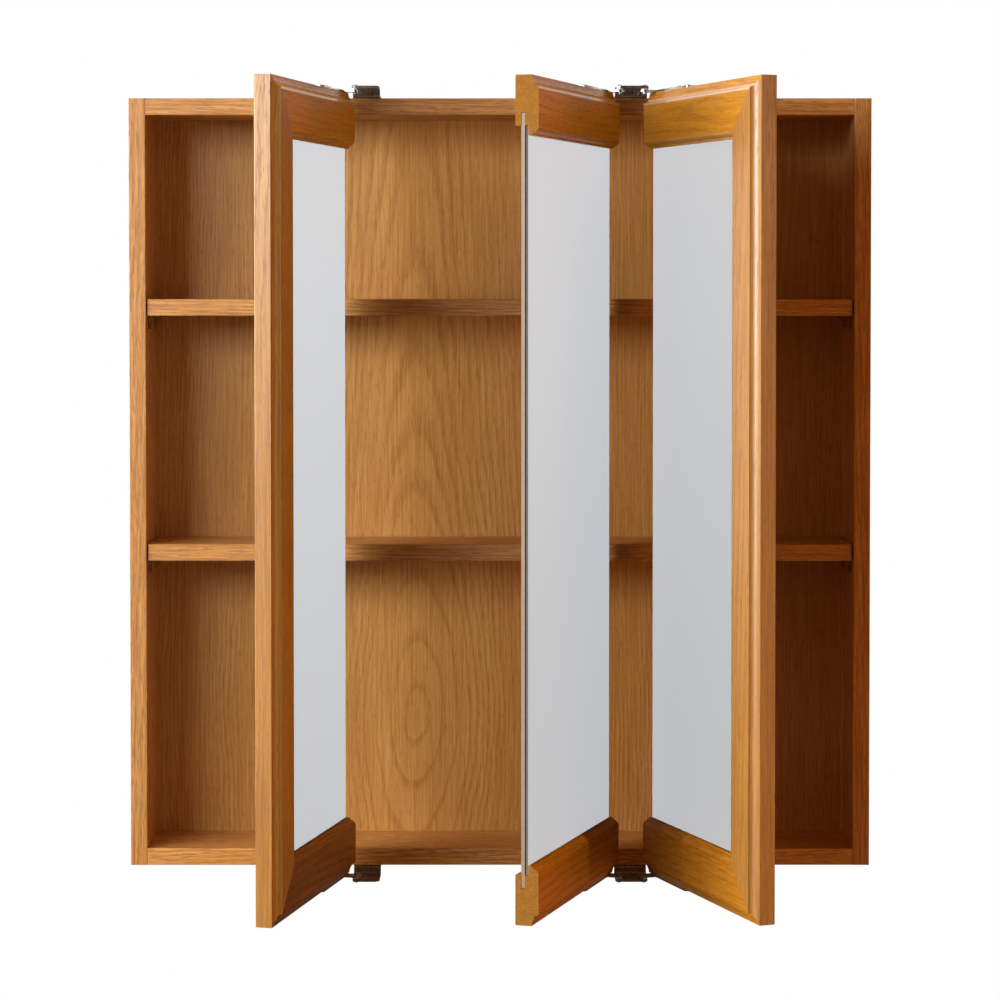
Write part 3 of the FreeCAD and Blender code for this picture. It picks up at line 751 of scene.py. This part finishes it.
def paint_bead_highlight(tree, turn, top, at_end, colour, roughness):
    """Colour and roughness with a painted highlight on the bead's front side, and the normal of its crest."""
    up = separate(tree, object_place(tree))["Z"]
    below = smooth_step(tree, up, top - BEAD_LOW, top - BEAD_LOW_FULL)
    past = inverse(tree, smooth_step(tree, up, top - BEAD_HIGH_FULL, top - BEAD_HIGH))
    at_back = smooth_step(tree, facing(tree, turn, "Y"), *BACK_FACING)
    in_front = inverse(tree, math_node(tree, "MAXIMUM", at_end, at_back))
    bead_highlight = product(tree, below, past, in_front)
    colour = mix_colour(tree, product(tree, bead_highlight, BEAD_HIGHLIGHT_SHARE), colour, BEAD_HIGHLIGHT_COLOUR)
    roughness = math_node(tree, "MULTIPLY_ADD", bead_highlight, HIGHLIGHT_SMOOTHER, roughness)
    fall = math_node(tree, "SUBTRACT", top - CREST_TOP, up)
    fall = math_node(tree, "DIVIDE", fall, CREST_FALL, clamp=True)
    fall = product(tree, fall, in_front)
    crest = add_node(tree, "ShaderNodeBump", Height=fall, Strength=1.0, Distance=CREST_DEPTH)
    return colour, roughness, crest.outputs["Normal"]


# %% Rail and stile materials
CORE_PALE = (0.43, 0.19, 0.014, 1.0)
CORE_DEEP = (0.25, 0.09, 0.005, 1.0)
CORE_ROUGHER = 0.4
END_FACING = (0.90, 0.97)
RAIL_GLOSS = 0.3
RAIL_GRAIN = dict(Streak_Strength=2.0, Pore_Strength=0.4)
STILE_GLOSS = 0.75
STILE_CUT = dict(Lean=0.04, Ring_Width=0.007, Wander=0.015, Streak_Strength=2.2, Pore_Strength=0.5)


def oak_rail(name, turn, centre, bead_top, cut):
    """A rail with the core on its square-cut ends, and a painted highlight on the bead where bead_top is
    given.
    """
    material, tree, shader = new_material(name)
    figure = frame_figure(tree, turn, ALONG_X, centre, RAIL_SHADE, **RAIL_GRAIN, **cut)
    colour = figure["Color"]
    roughness = figure["Roughness"]
    crest = None
    at_end = smooth_step(tree, math_node(tree, "ABSOLUTE", facing(tree, turn, "X")), *END_FACING)
    if bead_top is not None:
        colour, roughness, crest = paint_bead_highlight(tree, turn, bead_top, at_end, colour, roughness)
    core = add_speckle(tree, CORE_PALE, CORE_DEEP)
    colour = mix_colour(tree, at_end, colour, core["Color"])
    roughness = math_node(tree, "MULTIPLY_ADD", at_end, CORE_ROUGHER, roughness, clamp=True)
    finish_wood(tree, shader, colour, roughness, figure["Height"], RAIL_GLOSS, crest)
    return material


def oak_stile(name, turn, centre):
    """An outer stile."""
    material, tree, shader = new_material(name)
    figure = frame_figure(tree, turn, ALONG_Z, centre, STILE_TINT_WITH_SHEEN, **STILE_CUT)
    finish_wood(tree, shader, figure["Color"], figure["Roughness"], figure["Height"], STILE_GLOSS)
    return material


# %% [markdown]
# ## Cutting the rails and stiles
#
# Every stick gets its own centre of the rings, a few centimetres outside the wood, so that no
# two look alike. On the top rail of the right door the photograph shows a swirl in the grain.
# There the centre lies on the rail's face, which gives closed rings around it.

# %% Rails
RAIL_CUT = dict(Lean=0.12, Ring_Width=0.008, Wander=0.02)
RAIL_RINGS = Vector((0.04, 0.06, 0.035))
RAIL_RINGS_STEP = 0.01
EYE_RAIL = "right_door_top_rail"
EYE_PLACE = 0.7
EYE_CUT = dict(Lean=0.3, Taper=16.0, Ring_Width=0.0095, Wander=0.034)


def eye_centre(node, turn, height):
    """A place on the front of a rail, part of the way along it."""
    corners = door_axes(node, turn)
    start = min(corner.x for corner in corners)
    stop = max(corner.x for corner in corners)
    front = min(corner.y for corner in corners)
    eye = Vector((start + EYE_PLACE * (stop - start), front, height))
    return tuple(Matrix.Rotation(turn, 3, "Z") @ eye)


for index, (door, turn) in enumerate(door_turn.items()):
    for end, sign in (("top", 1), ("bottom", -1)):
        node = f"{door}_{end}_rail"
        low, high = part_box(node)
        middle = (low + high) / 2
        rings = Vector((RAIL_RINGS.x, RAIL_RINGS.y + RAIL_RINGS_STEP * index, sign * RAIL_RINGS.z))
        centre = tuple(middle + rings)
        cut = RAIL_CUT
        if node == EYE_RAIL:
            centre = eye_centre(node, turn, middle.z)
            cut = EYE_CUT
        bead_top = high.z if end == "top" else None
        dress(oak_rail("oak_" + node, turn, centre, bead_top, cut), node)

# %% Stiles
STILE_RINGS = Vector((-0.03, -0.02, 0.1))
STILE_RINGS_STEP = 0.2

for index, (door, turn) in enumerate(door_turn.items()):
    node = f"{door}_stile"
    if node in nodes:
        low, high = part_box(node)
        height = STILE_RINGS.z + STILE_RINGS_STEP * index
        centre = (low.x + STILE_RINGS.x, low.y + STILE_RINGS.y, height)
        dress(oak_stile("oak_" + node, turn, centre), node)

# %% [markdown]
# ## Mirrors
#
# In the photograph the glass is an even pale grey with no picture in it, so this finish is a
# pale silvered sheet with hardly any gloss rather than a perfect mirror. Its grey is painted
# lighter at the top and darker at the bottom, as painted light and shade. Its cut edge is the
# grey-green of plain glass, darker in a line at its rear, next to the board. Glossy rays, which
# are what the lacquer on the wood sees, get another glass that is dim towards the bottom, because
# the pale sheet would put a glow on the lower rails that a mirror doesn't. That glass is a painted
# reflection, white at the top on the middle door, where it puts a painted sheen on the right stile.

# %% Mirror values
MIRROR_TOP_PAINTED_LIGHT = (0.615, 0.665, 0.705, 1.0)
MIRROR_FOOT_PAINTED_SHADE = (0.53, 0.575, 0.612, 1.0)
MIRROR_ROUGHNESS = 0.18
MIRROR_GLOSS = 0.01
GLASS_EDGE = (0.28, 0.33, 0.30, 1.0)
GLASS_EDGE_PALE = (0.35, 0.41, 0.375, 1.0)
EDGE_DARK_LINE = (0.035, 0.026, 0.018, 1.0)
DARK_LINE_DEPTH = 0.0012
DARK_LINE_FULL = 0.7
HAZE_SCALE = 7.0
HAZE_SHARE = 0.06
EDGE_SCALE = 60.0
FACE_FACING = (0.6, 0.9)
DIM_REFLECTION = (0.05, 0.02, 0.005, 1.0)
SIDE_REFLECTION = (0.35, 0.30, 0.25, 1.0)
TOP_REFLECTION = {"left_door": SIDE_REFLECTION, "middle_door": WHITE, "right_door": SIDE_REFLECTION}
REFLECTION_Z = (-0.34, 0.2)
UNMOVED = (0.0, 0.0, 0.0)
print("the painted line on the glass is", DARK_LINE_DEPTH * 1000, "mm deep")


# %% Mirror glass
def glass_edge(tree, place, node, turn):
    """The cut edge of the glass, darker in a line at its rear."""
    edge = mix_colour(tree, noise(tree, place, EDGE_SCALE), GLASS_EDGE, GLASS_EDGE_PALE)
    back = max(corner.y for corner in door_axes(node, turn))
    depth = separate(tree, plank(tree, (0.0, 0.0, turn), UNMOVED))["Y"]
    # The rear of the cut edge is darkened in a line where the glass meets the board.
    painted = smooth_step(tree, depth, back - DARK_LINE_DEPTH, back - DARK_LINE_DEPTH * DARK_LINE_FULL)
    return mix_colour(tree, painted, edge, EDGE_DARK_LINE)


for door, turn in door_turn.items():
    node = f"{door}_mirror"
    low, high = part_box(node)
    material, tree, shader = new_material("silvered_glass_" + door)
    place = object_place(tree)
    up = separate(tree, place)["Z"]
    haze = noise(tree, place, HAZE_SCALE)
    # The glass is painted lighter towards the top and darker towards the bottom: painted light and shade.
    tone = math_node(tree, "MULTIPLY_ADD", haze, HAZE_SHARE, smooth_step(tree, up, low.z, high.z))
    silver = mix_colour(tree, tone, MIRROR_FOOT_PAINTED_SHADE, MIRROR_TOP_PAINTED_LIGHT)
    # To glossy rays the glass shows a painted reflection: dim at the bottom, and white at the top of the
    # middle door, for a painted sheen on the right stile.
    reflected = mix_colour(tree, smooth_step(tree, up, *REFLECTION_Z), DIM_REFLECTION, TOP_REFLECTION[door])
    glossy = tree.nodes.new("ShaderNodeLightPath").outputs["Is Glossy Ray"]
    silver = mix_colour(tree, glossy, silver, reflected)
    face = smooth_step(tree, math_node(tree, "ABSOLUTE", facing(tree, turn, "Y")), *FACE_FACING)
    colour = mix_colour(tree, face, glass_edge(tree, place, node, turn), silver)
    roughness = math_node(tree, "MULTIPLY_ADD", haze, HAZE_SHARE, MIRROR_ROUGHNESS)
    feed(tree, shader.inputs["Base Color"], colour)
    feed(tree, shader.inputs["Roughness"], roughness)
    shader.inputs["Specular IOR Level"].default_value = MIRROR_GLOSS
    dress(material, node)

# %% [markdown]
# ## Backing boards
#
# A thin board closes the back of each door. Its edge shows beside the glass of the middle
# door, pale and pinkish like bare pressed fibre, so it takes the fibre speckle in other tones.

# %% Backing boards
BOARD_PALE = (0.42, 0.295, 0.212, 1.0)
BOARD_DEEP = (0.32, 0.222, 0.152, 1.0)
BOARD_ROUGHNESS = 0.6

board, tree, shader = new_material("fibre_board")
fibre = add_speckle(tree, BOARD_PALE, BOARD_DEEP)
finish_wood(tree, shader, fibre["Color"], BOARD_ROUGHNESS, fibre["Height"])
dress(board, *[f"{door}_backing" for door in door_turn])

# %% [markdown]
# ## Hinges
#
# The brackets, leaves, pins and screws are steel with bright nickel plate. A metal with one even
# roughness looks like a perfect mirror, so fine noise scuffs the plate and clouds its colour.

# %% Nickel plate
NICKEL_DARK = (0.42, 0.40, 0.37, 1.0)
NICKEL_PALE = (0.58, 0.56, 0.52, 1.0)
NICKEL_ROUGHNESS = 0.18
SCUFF_ROUGHER = 0.22
SCUFF_STRETCH = (900.0, 900.0, 120.0)
PLATE_SCALE = 220.0
PLATE_STRENGTH = 0.15
PLATE_DEPTH = 0.0004

nickel, tree, shader = new_material("nickel_plate")
place = object_place(tree)
cloud = noise(tree, place, PLATE_SCALE, detail=4.0)
scuff = drawn_noise(tree, place, SCUFF_STRETCH)
roughness = math_node(tree, "MULTIPLY_ADD", scuff, SCUFF_ROUGHER, NICKEL_ROUGHNESS)
feed(tree, shader.inputs["Base Color"], mix_colour(tree, cloud, NICKEL_DARK, NICKEL_PALE))
feed(tree, shader.inputs["Roughness"], roughness)
shader.inputs["Metallic"].default_value = 1.0
relief = add_node(tree, "ShaderNodeBump", Height=cloud, Strength=PLATE_STRENGTH, Distance=PLATE_DEPTH)
feed(tree, shader.inputs["Normal"], relief.outputs["Normal"])
dress(nickel, *steel)

# %% [markdown]
# ## Shelf clips
#
# The shelves rest on small clips of clear plastic. Full transmission with the plastic's own
# index of refraction makes them clear, and a little noise keeps them from looking like glass.

# %% Clear clips
CLEAR_GREY = (0.88, 0.88, 0.87, 1.0)
CLEAR_PALE = (0.95, 0.95, 0.94, 1.0)
CLEAR_SCALE = 90.0
CLEAR_ROUGHNESS = 0.12
HAZE_ROUGHER = 0.15
CLIP_HAZE_SCALE = 300.0
ACRYLIC_IOR = 1.49

clear, tree, shader = new_material("clear_acrylic")
place = object_place(tree)
cloud = noise(tree, place, CLEAR_SCALE)
haze = noise(tree, place, CLIP_HAZE_SCALE)
roughness = math_node(tree, "MULTIPLY_ADD", haze, HAZE_ROUGHER, CLEAR_ROUGHNESS)
feed(tree, shader.inputs["Base Color"], mix_colour(tree, cloud, CLEAR_GREY, CLEAR_PALE))
feed(tree, shader.inputs["Roughness"], roughness)
shader.inputs["Transmission Weight"].default_value = 1.0
shader.inputs["IOR"].default_value = ACRYLIC_IOR
dress(clear, "upper_shelf_clips", "lower_shelf_clips")

# %% [markdown]
# ## Washers, bumpers and dowels
#
# The last pieces hardly show: nylon washers on the hinge pins, rubber bumpers on the backs of
# the doors, and beech dowels inside the corners of the case. Plain moulded stuff is never quite
# even, so the first two share a slight mottle. The dowels are wood and take the oak figure with
# fine rings and pale tones.

# %% Washers and bumpers
MOTTLE_ROUGHER = 0.15
NYLON_PALE = (0.84, 0.83, 0.80, 1.0)
NYLON_DEEP = (0.74, 0.73, 0.69, 1.0)
RUBBER_PALE = (0.60, 0.58, 0.54, 1.0)
RUBBER_DEEP = (0.48, 0.46, 0.43, 1.0)


def moulded(name, pale, deep, roughness, scale):
    """A plain moulded finish with a slight mottle."""
    material, tree, shader = new_material(name)
    mottle = noise(tree, object_place(tree), scale, detail=3.0)
    feed(tree, shader.inputs["Base Color"], mix_colour(tree, mottle, deep, pale))
    feed(tree, shader.inputs["Roughness"], math_node(tree, "MULTIPLY_ADD", mottle, MOTTLE_ROUGHER, roughness))
    return material


nylon = moulded("nylon_washer", NYLON_PALE, NYLON_DEEP, roughness=0.35, scale=400.0)
rubber = moulded("grey_rubber", RUBBER_PALE, RUBBER_DEEP, roughness=0.5, scale=300.0)
dress(nylon, "hinge_washers")
dress(rubber, *[f"{door}_bumpers" for door in door_turn])

# %% Dowels
DOWEL_CENTRE = (0.0, 0.05, 0.0)
DOWEL_CUT = dict(Lean=0.02, Ring_Width=0.004, Wander=0.004)
BEECH_TONES = dict(Pale=(0.70, 0.50, 0.30, 1.0), Deep=(0.58, 0.38, 0.21, 1.0), Pore=(0.50, 0.32, 0.17, 1.0))
dress(oak("beech_dowel", ALONG_X, DOWEL_CENTRE, **DOWEL_CUT, **BEECH_TONES), "corner_dowels")
